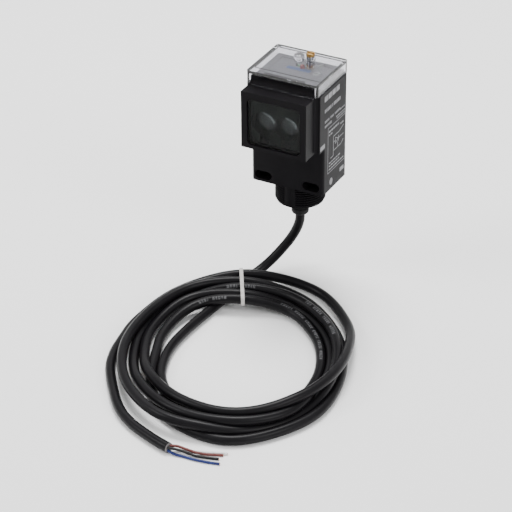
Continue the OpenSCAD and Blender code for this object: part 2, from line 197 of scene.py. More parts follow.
# %% Camera
turn, height, roll = math.radians(28.2), math.radians(31.77), math.radians(-0.44)
pick_object(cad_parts["housing"])
bpy.ops.object.camera_add(location=(0.4744, -0.9408, 0.5962))
camera = newest("camera")
camera.data.sensor_width = 36
camera.data.lens = 144.77
camera.rotation_euler = (
    Matrix.Rotation(turn, 4, "Z")
    @ Matrix.Rotation(math.pi / 2 - height, 4, "X")
    @ Matrix.Rotation(roll, 4, "Z")
).to_euler()
scene.camera = camera
print("camera at", [round(v, 3) for v in camera.location])

# %% [markdown]
# The lead is a 5.8 mm round cable. It drops from the boss, passes under the
# back of its own coil, makes five turns that wander over and beside each
# other, and leaves in a long tail that ends in four bared wires. A coil is
# never a perfect spring, so each turn has its own distances from the middle
# and heights, every 30 degrees, as a hand lays it.

# %% Lay of the cable
floor_z = -66.0
cable_d = 5.8
lead_route = [
    (0, 0, -25.5), (0, 0, -28), (-0.2, -0.2, -31), (-1, -0.6, -34.5),
    (-2.5, -1.2, -38.5), (-4.6, -2.2, -43), (-7.2, -3.8, -47.5), (-10.2, -6.4, -52),
    (-13.4, -10, -56.5), (-16.6, -14.5, -60.2), (-19.2, -20, -62.4),
    (-21, -27, -63.1), (-22, -34, -63.1), (-22.5, -41, -63.1),
]
under_coil = [
    (-23, -50, -63.1), (-24, -62, -63.1), (-25.5, -78, -63.1), (-26.5, -95, -63.1),
    (-26, -112, -63.1), (-21.5, -130, -63.1), (-14, -143, -63.1),
]
tail_route = [
    (-54, -118, -63.1), (-51.5, -131, -63.1), (-46.5, -143, -63.1), (-40, -153, -63.1),
    (-33, -162, -63.1), (-25.5, -171, -63.1), (-17, -178.8, -63.1), (-7, -184.8, -63.1),
    (3, -188.8, -63.1), (12, -191.8, -63.1), (20.6, -194, -63.1),
]
coil_middle = (14, -104)
# each place is its distance from the middle and its height above the floor
first_arc = [
    (56.5, 2.9), (62, 2.9), (57.5, 2.9), (50.5, 2.9), (46.8, 2.9), (49, 2.9), (55, 4.6),
]
turns = [
    [(52.3, 8.7), (57.2, 5.2), (51, 2.9), (46.8, 2.9), (54, 2.9), (68, 2.9),
     (76, 2.9), (69.5, 2.9), (61.5, 2.9), (58.8, 2.9), (61.5, 2.9), (69, 4.8)],
    [(72, 8.7), (70.5, 8.4), (65, 8.4), (65, 8.2), (68.5, 8.2), (74, 8.4),
     (71.5, 5.2), (64.5, 3.2), (57.5, 6.6), (55.5, 7.6), (57.4, 7.2), (61, 7.8)],
    [(64.8, 8.7), (68, 5), (62.5, 2.9), (59, 3.2), (61, 7.2), (65.5, 8.4),
     (69, 8.4), (64.5, 7.8), (55.5, 4.2), (52.4, 2.9), (55, 2.9), (60, 5.2)],
    [(58.6, 8.7), (67, 5.4), (60.6, 2.9), (53, 4.2), (53.5, 8.2), (57, 9.4),
     (62, 10.2), (62, 11), (60, 12.6), (61, 9.6), (70.5, 3.8), (83, 3.6)],
    [(80.5, 8.7), (77, 5), (71, 2.9)],
]
tie_bearing, bearing_step = 115, 30

points = lead_route + under_coil
bearing = tie_bearing - 7 * bearing_step  # seven places before the tie
for distance, rise in first_arc + [spot for one in turns for spot in one]:
    a = math.radians(bearing)
    points.append((
        coil_middle[0] + distance * math.cos(a),
        coil_middle[1] + distance * math.sin(a),
        floor_z + rise,
    ))
    bearing += bearing_step
points += tail_route
hand_lay = np.array(points, float)
print("cable route has", len(hand_lay), "points laid by hand")

# %% [markdown]
# A cable can't pass through itself, and a listed lay always has
# places where two turns bite into each other. So the route is cut into short
# steps, and pairs that are nearer than one diameter push each other apart a
# little at a time, while the cable's stiffness spreads each push along it and
# the floor holds it up. The two ends stay where they are.

# %% Settle the turns against each other
def even_steps(route, step):
    """The same route as a smooth line cut into equal steps."""
    cuts = 12
    ends = np.vstack([2 * route[0] - route[1], route, 2 * route[-1] - route[-2]])
    line = []
    for i in range(1, len(ends) - 2):
        a, b, c, d = ends[i - 1 : i + 3]
        ab, bc, cd = (np.linalg.norm(q - p) for p, q in ((a, b), (b, c), (c, d)))
        m1 = (c - a) / (ab + bc) * bc
        m2 = (d - b) / (bc + cd) * bc
        for k in range(cuts):
            t = k / cuts
            line.append(
                (2 * t**3 - 3 * t**2 + 1) * b + (t**3 - 2 * t**2 + t) * m1
                + (3 * t**2 - 2 * t**3) * c + (t**3 - t**2) * m2
            )
    line.append(ends[-2])
    line = np.array(line)
    run = np.concatenate([[0], np.linalg.norm(np.diff(line, axis=0), axis=1).cumsum()])
    at = np.linspace(0, run[-1], int(round(run[-1] / step)) + 1)
    return np.array([np.interp(at, run, line[:, i]) for i in range(3)]).T


settle_step, cable_step = 4.0, 2.5
rounds, look_again, ease_rounds = 120, 6, 6
held_start, held_end = 13, 24  # steps at the two ends that stay as laid
neighbours = 8  # steps this near along the cable are never a pair
near = 1.6 * cable_d
push_share, pull_back, stiffness, ease = 0.22, 0.012, 0.35, 0.25

laid = even_steps(hand_lay, settle_step)
first, second = np.triu_indices(len(laid), neighbours)
lay = laid.copy()
for number in range(rounds):
    if number % look_again == 0:
        apart = np.linalg.norm(lay[first] - lay[second], axis=1)
        near_a, near_b = first[apart < near], second[apart < near]
    gap = lay[near_a] - lay[near_b]
    apart = np.linalg.norm(gap, axis=1)
    biting = apart < cable_d
    way = gap[biting] / apart[biting][:, None]
    push = way * (cable_d - apart[biting])[:, None] * push_share
    move = np.zeros_like(lay)
    np.add.at(move, near_a[biting], push)
    np.add.at(move, near_b[biting], -push)
    shift = lay - laid
    move -= pull_back * shift
    move[1:-1] += stiffness * ((shift[:-2] + shift[2:]) / 2 - shift[1:-1])
    move[:held_start] = 0
    move[-held_end:] = 0
    lay = lay + move
    lay[:, 2] = np.maximum(lay[:, 2], floor_z + cable_d / 2)

free = slice(held_start, -held_end)
before = slice(held_start - 1, -held_end - 1)
after = slice(held_start + 1, -held_end + 1)
for number in range(ease_rounds):
    lay[free] += ease * ((lay[before] + lay[after]) / 2 - lay[free])
cable_line = even_steps(lay, cable_step)
step_lengths = np.linalg.norm(np.diff(cable_line, axis=0), axis=1)
cable_run = np.concatenate([[0], step_lengths.cumsum()])
print("cable is", round(cable_run[-1] / 1000, 3), "m long")

# %% [markdown]
# Every finish follows one recipe. Plain values go on the shader, a cloudy
# noise then varies colour and gloss, and a finer one raises a grain. Both read
# object space, so a pattern stays put on its piece.

# %% Materials helper
def material(name, colour, roughness, **sockets):
    """A new material with its plain values set on the shader's own sockets."""
    made = bpy.data.materials.new(name)
    made.use_nodes = True
    shader = made.node_tree.nodes["Principled BSDF"]
    shader.inputs["Base Color"].default_value = (*colour, 1)
    shader.inputs["Roughness"].default_value = roughness
    for key, value in sockets.items():
        shader.inputs[key.replace("_", " ")].default_value = value
    return made


def add_node(made, kind, x, y):
    """A new shader node, placed so that the tree reads from left to right."""
    node = made.node_tree.nodes.new(kind)
    node.location = (x, y)
    return node


def grain(
    made, scale, dark, light, rough_low, rough_high, bump, stretch=(1, 1, 1), fine=6.0,
):
    """Cloudy colour, uneven gloss and a fine raised grain, all in object space."""
    tree = made.node_tree
    shader = tree.nodes["Principled BSDF"]
    place = add_node(made, "ShaderNodeTexCoord", -1300, 0)
    mapping = add_node(made, "ShaderNodeMapping", -1100, 0)
    mapping.inputs["Scale"].default_value = stretch
    tree.links.new(place.outputs["Object"], mapping.inputs["Vector"])
    clouds = add_node(made, "ShaderNodeTexNoise", -880, 160)
    clouds.inputs["Scale"].default_value = scale
    clouds.inputs["Detail"].default_value = 5
    grit = add_node(made, "ShaderNodeTexNoise", -880, -160)
    grit.inputs["Scale"].default_value = scale * fine
    grit.inputs["Detail"].default_value = 3
    for noise in (clouds, grit):
        tree.links.new(mapping.outputs["Vector"], noise.inputs["Vector"])
    tint = add_node(made, "ShaderNodeValToRGB", -620, 200)
    tint.color_ramp.elements[0].position = 0.3
    tint.color_ramp.elements[0].color = (*dark, 1)
    tint.color_ramp.elements[1].position = 0.72
    tint.color_ramp.elements[1].color = (*light, 1)
    tree.links.new(clouds.outputs["Fac"], tint.inputs["Fac"])
    tree.links.new(tint.outputs["Color"], shader.inputs["Base Color"])
    gloss = add_node(made, "ShaderNodeMapRange", -620, -60)
    gloss.inputs["From Min"].default_value = 0.3
    gloss.inputs["From Max"].default_value = 0.7
    gloss.inputs["To Min"].default_value = rough_low
    gloss.inputs["To Max"].default_value = rough_high
    tree.links.new(clouds.outputs["Fac"], gloss.inputs["Value"])
    tree.links.new(gloss.outputs["Result"], shader.inputs["Roughness"])
    relief = add_node(made, "ShaderNodeBump", -300, -260)
    relief.inputs["Strength"].default_value = bump
    relief.inputs["Distance"].default_value = 0.05 * mm
    tree.links.new(grit.outputs["Fac"], relief.inputs["Height"])
    tree.links.new(relief.outputs["Normal"], shader.inputs["Normal"])
    return made


# %% [markdown]
# The cable itself is a curve with a round section. Its jacket is black PVC
# with a satin gloss and a little unevenness from handling. A curve keeps the
# section true round every bend.

# %% Cable
def round_cord(name, path, diameter, resolution):
    """A curve with a round section along a path in mm, closed at both ends."""
    curve = bpy.data.curves.new(name, "CURVE")
    curve.dimensions = "3D"
    spline = curve.splines.new("POLY")
    spline.points.add(len(path) - 1)
    for spot, place in zip(spline.points, path):
        spot.co = (*(place * mm), 1)
    curve.bevel_depth = diameter / 2 * mm
    curve.bevel_resolution = resolution
    curve.use_fill_caps = True
    return add_object(name, curve)


jacket = grain(
    material("cable_jacket", (0.006, 0.006, 0.007), 0.34, Specular_IOR_Level=0.11),
    60, (0.0046, 0.0042, 0.005), (0.0072, 0.0067, 0.0078), 0.3, 0.38, 0.2,
)
cable = round_cord("cable", cable_line, cable_d, 6)
cable.data.materials.append(jacket)
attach(cable, "body")
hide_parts("cable_lead", "cable_coil", "cable_tail")
print("cable points", len(cable_line))

# %% [markdown]
# Along the jacket a maker prints its type in white. Here it is only rows of
# short plain dashes, each a thin patch bent to the jacket, so no letters are
# drawn. They show on the inner turn at the right and on two turns by the tie.

# %% Dashes printed on the jacket
def on_cable(distance):
    """A place on the cable's middle line, the way it runs, and two sides."""
    look_ahead = 2
    place, ahead = (
        Vector([float(np.interp(at, cable_run, cable_line[:, i])) for i in range(3)])
        for at in (distance, distance + look_ahead)
    )
    along = (ahead - place).normalized()
    side = along.cross(Vector((0, 0, 1))).normalized()
    return place, along, side, side.cross(along)


dash_lengths, dash_gap, group_gap, group = (1.5, 0.9, 1.3, 1.1), 0.55, 2.4, 5
dash_lift, dash_lines, line_turn = 0.03, 4, math.radians(12.825)


def printed_row(name, start_mm, count, angle, ink):
    """Dashes of one row: start along the cable, how many, and where round the jacket."""
    corners, patches = [], []
    lift = cable_d / 2 + dash_lift
    distance = start_mm
    for n in range(count):
        length = dash_lengths[n % len(dash_lengths)]
        base = len(corners)
        for k in range(dash_lines):
            a = angle + line_turn * (k - (dash_lines - 1) / 2)
            for reach in (0, length):
                place, _, side, up = on_cable(distance + reach)
                corners.append((place + lift * (math.cos(a) * up + math.sin(a) * side)) * mm)
        for k in range(base, base + 2 * (dash_lines - 1), 2):
            patches.append((k, k + 1, k + 3, k + 2))
        distance += length + (group_gap if n % group == group - 1 else dash_gap)
    data = bpy.data.meshes.new(name)
    data.from_pydata(corners, [], patches)
    return finish_piece(add_object(name, data), "body", ink)


ink = grain(


    material("faded_ink", (0.08, 0.08, 0.083), 0.6, Specular_IOR_Level=0.1),


    900, (0.012, 0.012, 0.013), (0.12, 0.12, 0.125), 0.5, 0.7, 0.1,


)
cable_marks = [
    printed_row("cable_marks_1", 318, 30, 0.0, ink),
    printed_row("cable_marks_2", 411, 9, math.radians(-40), ink),
    printed_row("cable_marks_3", 1130, 18, math.radians(-10), ink),
    printed_row("cable_marks_4", 1201, 9, math.radians(-40), ink),
]
print("dashes on", len(cable_marks), "rows")

# %% [markdown]
# The tie is a flat strip of pale plastic drawn round the whole bundle just
# where the lead passes under it. Its shape is found from the cable: the
# places where the cable crosses the strip's plane are gathered, and the strip
# follows the outline of those circles as a string pulled tight would.

# %% Tie round the bundle
tie_width, tie_thick, tie_gap, tie_reach = 2.1, 0.85, 0.02, 40
tie_middle, tie_angle = np.array([-14.5, -46.7]), math.radians(120)
radial = np.array([math.cos(tie_angle), math.sin(tie_angle)])
across = np.array([-radial[1], radial[0]])
flat = cable_line[:, :2] - tie_middle
reach, offset = flat @ radial, flat @ across
crossings = []
for i in range(len(cable_line) - 1):
    if abs(reach[i]) < tie_reach and offset[i] * offset[i + 1] <= 0:
        share = offset[i] / (offset[i] - offset[i + 1])
        crossings.append(cable_line[i] * (1 - share) + cable_line[i + 1] * share)
bundle = np.array([((c[:2] - tie_middle) @ radial, c[2]) for c in crossings])


def tight_outline(circles, radius, steps=72):
    """The outline of a string round circles: one point for each direction."""
    line = []
    for k in range(steps):
        a = 2 * math.pi * k / steps
        way = np.array([math.cos(a), math.sin(a)])
        furthest = circles[np.argmax(circles @ way)]
        line.append(furthest + radius * way)
    return line


inner = tight_outline(bundle, cable_d / 2 + tie_gap)
outer = tight_outline(bundle, cable_d / 2 + tie_gap + tie_thick)
places = []
for ring_points, half in ((inner, -1), (outer, -1), (outer, 1), (inner, 1)):
    for far, high in ring_points:
        spot = tie_middle + far * radial + half * tie_width / 2 * across
        places.append(Vector((spot[0], spot[1], max(high, floor_z + 0.05))) * mm)
count = len(inner)
sides = [
    (a * count + k, a * count + (k + 1) % count, b * count + (k + 1) % count, b * count + k)
    for a, b in ((0, 1), (1, 2), (2, 3), (3, 0))
    for k in range(count)
]
data = bpy.data.meshes.new("cable_tie_band")
data.from_pydata(places, [], sides)
tie = add_object("cable_tie_band", data)
edit_all(tie)
bpy.ops.mesh.normals_make_consistent(inside=False)
object_mode()
round_edges(tie, 0.36, 3, 40)
smooth(tie, 50)
pale_strip = grain(
    material("tie_plastic", (0.5, 0.48, 0.46), 0.4),
    400, (0.42, 0.4, 0.385), (0.56, 0.54, 0.52), 0.34, 0.46, 0.2,
)
finish_piece(tie, "body", pale_strip, ["cable_tie"])
print("the tie holds", len(bundle), "runs of cable")

# %% [markdown]
# At its end the jacket is cut square and four thin insulated wires come out
# and lie on the floor in slow waves. Each is a round curve made into a mesh,
# with a bright copper core in its cut end.

# %% Bared wires
wire_d, core_depth, core_reach = 1.5, 0.02, 0.55
wire_routes = {
    "brown": [(20.8, -193.1, -62.3), (24.4, -191.6, -62.2), (29, -190.6, -63.2),
              (34, -189.4, -64.4), (40, -187.2, -65.2), (48, -183.9, -65.2)],
    "white": [(21, -193, -64), (25.4, -190.6, -64.9), (31, -188.6, -65.2),
              (38, -186.4, -65.2), (44, -183.9, -65.2), (49.4, -181.7, -65.2)],
    "black": [(20.6, -194.9, -62.3), (24.6, -194.2, -62.4), (29.5, -192.7, -63.6),
              (35, -191.4, -65), (41.5, -189.8, -65.2), (47.6, -187.9, -65.2)],
    "blue": [(20.7, -195.1, -64), (24.8, -195.2, -64.9), (30, -194.6, -65.2),
             (36.4, -194.2, -65.2), (43.6, -193, -65.2), (50, -191.3, -65.2)],
}
wire_colours = {
    "brown": ((0.12, 0.035, 0.03), (0.17, 0.055, 0.048)),
    "white": ((0.62, 0.62, 0.62), (0.74, 0.74, 0.74)),
    "black": ((0.006, 0.006, 0.007), (0.01, 0.01, 0.011)),
    "blue": ((0.009, 0.014, 0.09), (0.018, 0.035, 0.15)),
}
copper = grain(
    material("copper_strands", (0.6, 0.3, 0.16), 0.35, Metallic=1.0),
    3000, (0.5, 0.22, 0.11), (0.75, 0.4, 0.22), 0.25, 0.5, 0.4,
)
for colour, route in wire_routes.items():
    path = even_steps(np.array(route, float), 1.2)
    wire = round_cord(f"wire_{colour}_insulation", path, wire_d, 4)
    pick_object(wire)
    bpy.ops.object.convert(target="MESH")
    wire = newest(f"wire_{colour}_insulation")
    tip, ahead = Vector(path[-1]), Vector(path[-1] - path[-2]).normalized()
    select_faces(wire, lambda c, n: (c - tip).length < 0.4 and n.dot(ahead) > 0.9)
    bpy.ops.mesh.inset(thickness=0.32 * mm, depth=0.0)
    bpy.ops.mesh.extrude_region_move(TRANSFORM_OT_translate={"value": ahead * 0.25 * mm})
    object_mode()
    round_edges(wire, 0.06, 1, 50)
    smooth(wire, 40)
    dark, light = wire_colours[colour]
    skin = grain(
        material(f"{colour}_insulation", light, 0.4, Specular_IOR_Level=0.25),
        300, dark, light, 0.34, 0.46, 0.15,
    )
    finish_piece(wire, "body", skin, [f"wire_{colour}"])
    wire.data.materials.append(copper)
    for face in wire.data.polygons:
        from_tip = face.center / mm - tip
        if from_tip @ ahead > -core_depth and from_tip.length < core_reach:
            face.material_index = 1

# the jacket's cut face shows its paler wall, scuffed by the blade
end_place = Vector(cable_line[-1])
end_way = Vector(cable_line[-1] - cable_line[-2]).normalized()
select_nothing()
bpy.ops.mesh.primitive_cylinder_add(
    vertices=40, radius=(cable_d / 2 - 0.06) * mm, depth=0.3 * mm, end_fill_type="NGON",
    location=(end_place + end_way * 0.1) * mm,
    rotation=end_way.to_track_quat("Z", "Y").to_euler(),
)
cut_face = newest("jacket_cut_face")
settle(cut_face)
select_faces(cut_face, lambda c, n: n.dot(end_way) > 0.9)
bpy.ops.mesh.inset(thickness=0.95 * mm, depth=0.0)
bpy.ops.mesh.inset(thickness=0.1 * mm, depth=-0.12 * mm)
object_mode()
round_edges(cut_face, 0.06, 1, 40)
smooth(cut_face, 40)
cut_grey = grain(
    material("cut_jacket", (0.16, 0.15, 0.15), 0.7),
    900, (0.1, 0.095, 0.095), (0.2, 0.185, 0.185), 0.6, 0.8, 0.8,
)
finish_piece(cut_face, "body", cut_grey)

# %% [markdown]
# The body is a black moulded box. Its plastic is dense and dark with a soft
# sheen, so little light comes back from its face and the edges are what show:
# each gets the small radius that a mould leaves. The colours of the black
# pieces are set well below real plastic, because the picture's view transform
# lifts dark tones.

# %% Body plastic
body_plastic = grain(
    material("body_plastic", (0.005, 0.005, 0.006), 0.42, Specular_IOR_Level=0.05),
    45, (0.0038, 0.0034, 0.0042), (0.0062, 0.0057, 0.0067), 0.32, 0.42, 0.25, fine=60,
)
shell = copy_of("housing", "body_shell", 0.3, 2)
finish_piece(shell, "body", body_plastic, ["housing"])

# %% [markdown]
# The base block is a separate moulding under a seam. Its boss is the tall
# round stub with the mounting thread. The thread needs room, so the boss's
# skin is first drawn in to the root of the thread, and the ridges are made as
# a piece of their own.

# %% Base block and boss
boss_r, root_r, boss_bottom = 15.0, 14.2, -15.0
base = copy_of("base_block", "base_moulding", 0.0)
moved = select_points(base, lambda p: p.z < 0.02 and abs(math.hypot(p.x, p.y) - boss_r) < 0.1)
bpy.ops.transform.resize(value=(root_r / boss_r, root_r / boss_r, 1), center_override=(0, 0, 0))
object_mode()
round_edges(base, 0.3, 2)
smooth(base)
finish_piece(base, "body", body_plastic, ["base_block"])
print("boss points drawn in:", moved)

# %% [markdown]
# The thread is M30 with a 1.5 mm pitch, cut away in a smooth strip at the
# front and the back, where the two halves of the mould meet. A saw-tooth
# outline is drawn once and spun round the axis by a little under half a turn,
# on each side of the strips.

# %% Thread ridges
pitch, thread_top, thread_end, strip = 1.5, -0.5, boss_bottom + 0.6, math.radians(15)
crest_r, buried_r = boss_r - 0.05, root_r - 0.35
outline = [(buried_r, thread_top)]
z = thread_top
while z - pitch > thread_end:
    outline += [
        (root_r, z - 0.12 * pitch), (crest_r, z - 0.42 * pitch),
        (crest_r, z - 0.56 * pitch), (root_r, z - 0.88 * pitch),
    ]
    z -= pitch
outline.append((buried_r, z))
for side, middle in (("right", 0.0), ("left", math.pi)):
    start_angle = middle - math.pi / 2 + strip
    start_x, start_y = math.cos(start_angle), math.sin(start_angle)
    data = bpy.data.meshes.new("thread")
    count = len(outline)
    data.from_pydata(
        [(r * start_x * mm, r * start_y * mm, h * mm) for r, h in outline],
        [(k, (k + 1) % count) for k in range(count)], [],
    )
    thread = add_object(f"thread_{side}", data)
    edit_all(thread)
    bpy.ops.mesh.spin(steps=44, angle=2 * strip - math.pi, center=(0, 0, 0), axis=(0, 0, 1))
    bpy.ops.mesh.select_all(action="DESELECT")
    bpy.ops.mesh.select_mode(type="EDGE")
    bpy.ops.mesh.select_non_manifold(extend=False, use_wire=True, use_boundary=True)
    bpy.ops.mesh.edge_face_add()
    bpy.ops.mesh.select_all(action="SELECT")
    bpy.ops.mesh.remove_doubles(threshold=0.002 * mm)
    bpy.ops.mesh.normals_make_consistent(inside=False)
    object_mode()
    smooth(thread, 30)
    finish_piece(thread, "body", body_plastic)
print("thread turns on the boss:", round((thread_top - z) / pitch))

# %% [markdown]
# Behind the front of the head sits a smoked window. It is a moulded plate with
# rounded corners, dark enough to hide the inside but for the two lenses. The
# tint is in the plastic, so the shader passes tinted light. Its index is lower
# than real plastic's, which keeps the veil of reflection faint. Under it are
# the gasket and the holder with its two wells.

# %% Window, gasket and lens holder
smoked = grain(
    material("smoked_window", (0.3, 0.32, 0.315), 0.02, Transmission_Weight=1.0, IOR=1.16),
    30, (0.29, 0.31, 0.3), (0.33, 0.35, 0.34), 0.01, 0.03, 0.01,
)
window = copy_of("window", "smoked_window", 0.15, 2)
finish_piece(window, "body", smoked, ["window"])

rubber = grain(
    material("seal_rubber", (0.008, 0.008, 0.009), 0.6, Specular_IOR_Level=0.15),
    120, (0.006, 0.006, 0.0065), (0.01, 0.0095, 0.0105), 0.5, 0.7, 0.4,
)
gasket = copy_of("window_gasket", "window_seal", 0.1, 2)
finish_piece(gasket, "body", rubber, ["window_gasket"])

holder_plastic = grain(
    material("holder_plastic", (0.045, 0.05, 0.048), 0.5, Specular_IOR_Level=0.3),
    80, (0.038, 0.042, 0.04), (0.055, 0.06, 0.058), 0.42, 0.58, 0.4, fine=30,
)
holder = copy_of("lens_holder", "lens_wells", 0.12, 2, flat=0)
finish_piece(holder, "body", holder_plastic, ["lens_holder"])

# %% [markdown]
# Each lens is a plain glass-clear dome on a short drum. The frame's lens has
# flat facets, so a finer one is made: a ball is cut off at the seat with
# bisect, and the rim is extruded back to make the drum.

# %% Lenses
clear_lens = grain(
    material("clear_lens", (0.86, 0.86, 0.92), 0.1, Transmission_Weight=0.82, IOR=1.7),
    50, (0.8, 0.8, 0.87), (0.9, 0.9, 0.96), 0.08, 0.13, 0.01,
)
window_z, lens_r, dome_h, drum_h, seat_y = 47.3, 5.9, 3.2, 1.9, -27.2
ball_r = (lens_r**2 + dome_h**2) / (2 * dome_h)
for name, x in (("emitter", -7.0), ("receiver", 7.0)):
    middle = Vector((x, seat_y - dome_h + ball_r, window_z)) * mm
    select_nothing()
    bpy.ops.mesh.primitive_uv_sphere_add(
        segments=64, ring_count=48, radius=ball_r * mm, location=middle,
        rotation=(math.pi / 2, 0, 0),
    )
    lens = newest(f"{name}_dome")
    settle(lens)
    edit_all(lens)
    bpy.ops.mesh.bisect(
        plane_co=Vector((x, seat_y, window_z)) * mm, plane_no=(0, 1, 0),
        use_fill=True, clear_outer=True,
    )
    bpy.ops.mesh.select_all(action="DESELECT")
    object_mode()
    select_faces(lens, lambda c, n: n.y > 0.99)
    bpy.ops.mesh.extrude_region_move(TRANSFORM_OT_translate={"value": (0, drum_h * mm, 0)})
    object_mode()
    round_edges(lens, 0.12, 2, 40)
    smooth(lens, 40)
    finish_piece(lens, "body", clear_lens, [f"{name}_lens"])

# %% [markdown]
# The grey plate on top carries the controls. It is a flat moulding with a
# shallow sunk field and a printed blue bar. The bar is a thin film: a plate
# with rounded corners laid a hair above the plastic.

# %% Top plate and its blue bar
plate_grey = grain(
    material("plate_grey", (0.2, 0.2, 0.21), 0.5, Specular_IOR_Level=0.3),
    70, (0.19, 0.19, 0.2), (0.235, 0.235, 0.248), 0.45, 0.6, 0.25, fine=40,
)
plate = copy_of("top_plate", "control_plate", 0.12, 2)
finish_piece(plate, "body", plate_grey, ["top_plate"])


def flat_patch(name, low, high, height, thick, body, ink, corner=0.3):
    """A thin flat patch on a level face, for print or for painted shade: a cube flattened, its
    corners rounded.
    """
    select_nothing()
    middle = ((low[0] + high[0]) / 2 * mm, (low[1] + high[1]) / 2 * mm, height * mm)
    bpy.ops.mesh.primitive_cube_add(size=1, location=middle)
    patch = newest(name)
    patch.scale = ((high[0] - low[0]) * mm, (high[1] - low[1]) * mm, thick * mm)
    settle(patch)
    select_edges(patch, lambda a, b: abs(a.x - b.x) < 1e-4 and abs(a.y - b.y) < 1e-4)
    bpy.ops.mesh.bevel(offset=corner * mm, segments=4)
    object_mode()
    return finish_piece(patch, body, ink)


blue_ink = grain(
    material("blue_ink", (0.045, 0.1, 0.3), 0.45, Specular_IOR_Level=0.3),
    200, (0.04, 0.09, 0.28), (0.055, 0.115, 0.34), 0.4, 0.5, 0.1,
)
plate_field_z, film_lift, film_thick = 67.9, 0.02, 0.03
flat_patch(
    "blue_bar", (-8.4, -2.6), (6.4, 0.6), plate_field_z + film_lift, film_thick,
    "body", blue_ink,
)

# %% [markdown]
# Black rubber seals fill the seams over the base and under the lid. They only
# need softer edges than the frame's, so they are copied and eased.

# %% Seals in the seams
for node, name in (("base_seal", "seam_seal"), ("cover_gasket", "cover_seal")):
    seal = copy_of(node, name, 0.15, 2)
    finish_piece(seal, "body", rubber, [node])

# %% [markdown]
# The clear cover is a shallow box lid in polycarbonate, open at the front below
# its lip. Clear plastic shows as its edges: where a wall turns, light bends
# and a dark and a bright line run side by side. So the copy keeps its true
# thickness, its edges get a fine radius, and the shader simply passes light.

# %% Clear cover
polycarbonate = grain(
    material("clear_plastic", (0.8, 0.8, 0.83), 0.03, Transmission_Weight=1.0, IOR=1.5),
    40, (0.78, 0.78, 0.815), (0.83, 0.83, 0.86), 0.015, 0.05, 0.015,
)
cover = copy_of("clear_cover", "clear_lid", 0.3, 2)
finish_piece(cover, "cover", polycarbonate, ["clear_cover"])

# painted shade: thin dark strips stand in for the dark lines that the lid's inner corners show where
# light bends through them
edge_shade = grain(
    material("painted_lid_shade", (0.05, 0.05, 0.055), 0.25, Transmission_Weight=0.2, IOR=1.2),
    120, (0.035, 0.035, 0.039), (0.07, 0.07, 0.076), 0.2, 0.3, 0.05,
)
lid_edge_z, lid_edge_thick = 71.85, 0.4
for name, low, high in (
    ("left", (-20.95, -17.1), (-20.6, 12.4)), ("right", (20.6, -17.1), (20.95, 12.4)),
    ("back", (-20.55, 12.1), (20.55, 12.4)), ("front", (-20.55, -17.1), (20.55, -16.8)),
):
    # each strip is painted shade, laid flat on the lid
    flat_patch(
        f"lid_shade_strip_{name}", low, high, lid_edge_z, lid_edge_thick,
        "cover", edge_shade, 0.1,
    )

# %% [markdown]
# The status light is a clear cap that stands up through the cover over its
# diode. Such a cap is fluted to spread the light: its side is a ring of small
# ribs. A drum is added, every second strip of its side is pushed out, the top
# edge is rounded, and the stem below is extruded from its underside.

# %% Indicator cap
cap_x, cap_y, cap_r, cap_low, cap_high, cap_sides = -3.3, 4.2, 2.95, 71.4, 75.7, 36
select_nothing()
bpy.ops.mesh.primitive_cylinder_add(
    vertices=cap_sides, radius=cap_r * mm, depth=(cap_high - cap_low) * mm, end_fill_type="NGON",
    location=(cap_x * mm, cap_y * mm, (cap_low + cap_high) / 2 * mm),
)
cap = newest("indicator_cap")
settle(cap)


def every_second(p):
    """Every second upright edge of the cap's side."""
    x, y = p.x - cap_x, p.y - cap_y
    number = round(math.atan2(y, x) / (2 * math.pi / cap_sides))
    return number % 2 == 0 and math.hypot(x, y) > 1


select_points(cap, every_second)
bpy.ops.transform.resize(value=(0.9, 0.9, 1), center_override=(cap_x * mm, cap_y * mm, 0))
object_mode()
select_faces(cap, lambda c, n: n.z > 0.9)
bpy.ops.mesh.inset(thickness=0.7 * mm, depth=0.35 * mm)
bpy.ops.mesh.inset(thickness=0.6 * mm, depth=0.1 * mm)
object_mode()
select_faces(cap, lambda c, n: n.z < -0.9)
bpy.ops.mesh.inset(thickness=1.25 * mm, depth=0.0)
bpy.ops.mesh.extrude_region_move(TRANSFORM_OT_translate={"value": (0, 0, -2.7 * mm)})
object_mode()
round_edges(cap, 0.12, 2, 25)
smooth(cap, 30)
finish_piece(cap, "cover", polycarbonate, ["indicator_dome"])

# %% [markdown]
# One brass screw holds the cover. Its head is a short drum with a rounded rim
# and a straight slot for a coin or a driver. It is copied from the frame with
# its edges eased, and the faces of its shank get a plated finish.

# %% Cover screw
screw_x, screw_y, shaft_r, head_z = 3.7, 4.5, 1.5, 76.1
brass = grain(
    material("brass", (0.45, 0.27, 0.09), 0.3, Metallic=1.0),
    700, (0.34, 0.19, 0.06), (0.5, 0.31, 0.11), 0.25, 0.42, 0.3,
)
plated = grain(
    material("plated_shank", (0.55, 0.55, 0.56), 0.35, Metallic=1.0),
    600, (0.45, 0.45, 0.46), (0.62, 0.62, 0.63), 0.3, 0.45, 0.3,
)
screw = copy_of("cover_screw", "brass_screw", 0.14, 2)
finish_piece(screw, "screw", brass, ["cover_screw"])
screw.data.materials.append(plated)
for face in screw.data.polygons:
    x, y, z = face.center / mm
    if z < head_z + 0.02 and math.hypot(x - screw_x, y - screw_y) < shaft_r + 0.1:
        face.material_index = 1

# %% [markdown]
# Under the lid are two coloured diodes, a dial and a selector. The frame has
# their shapes already, so each is copied, its edges are eased and only its
# finish is new. The diodes are unlit: tinted resin that passes some light.

# %% Diodes, dial and selector
def diode_resin(name, colour, light):
    """Tinted clear resin, with no light of its own."""
    return grain(
        material(name, colour, 0.12, Transmission_Weight=0.35, IOR=1.5),
        300, colour, light, 0.08, 0.16, 0.05,
    )


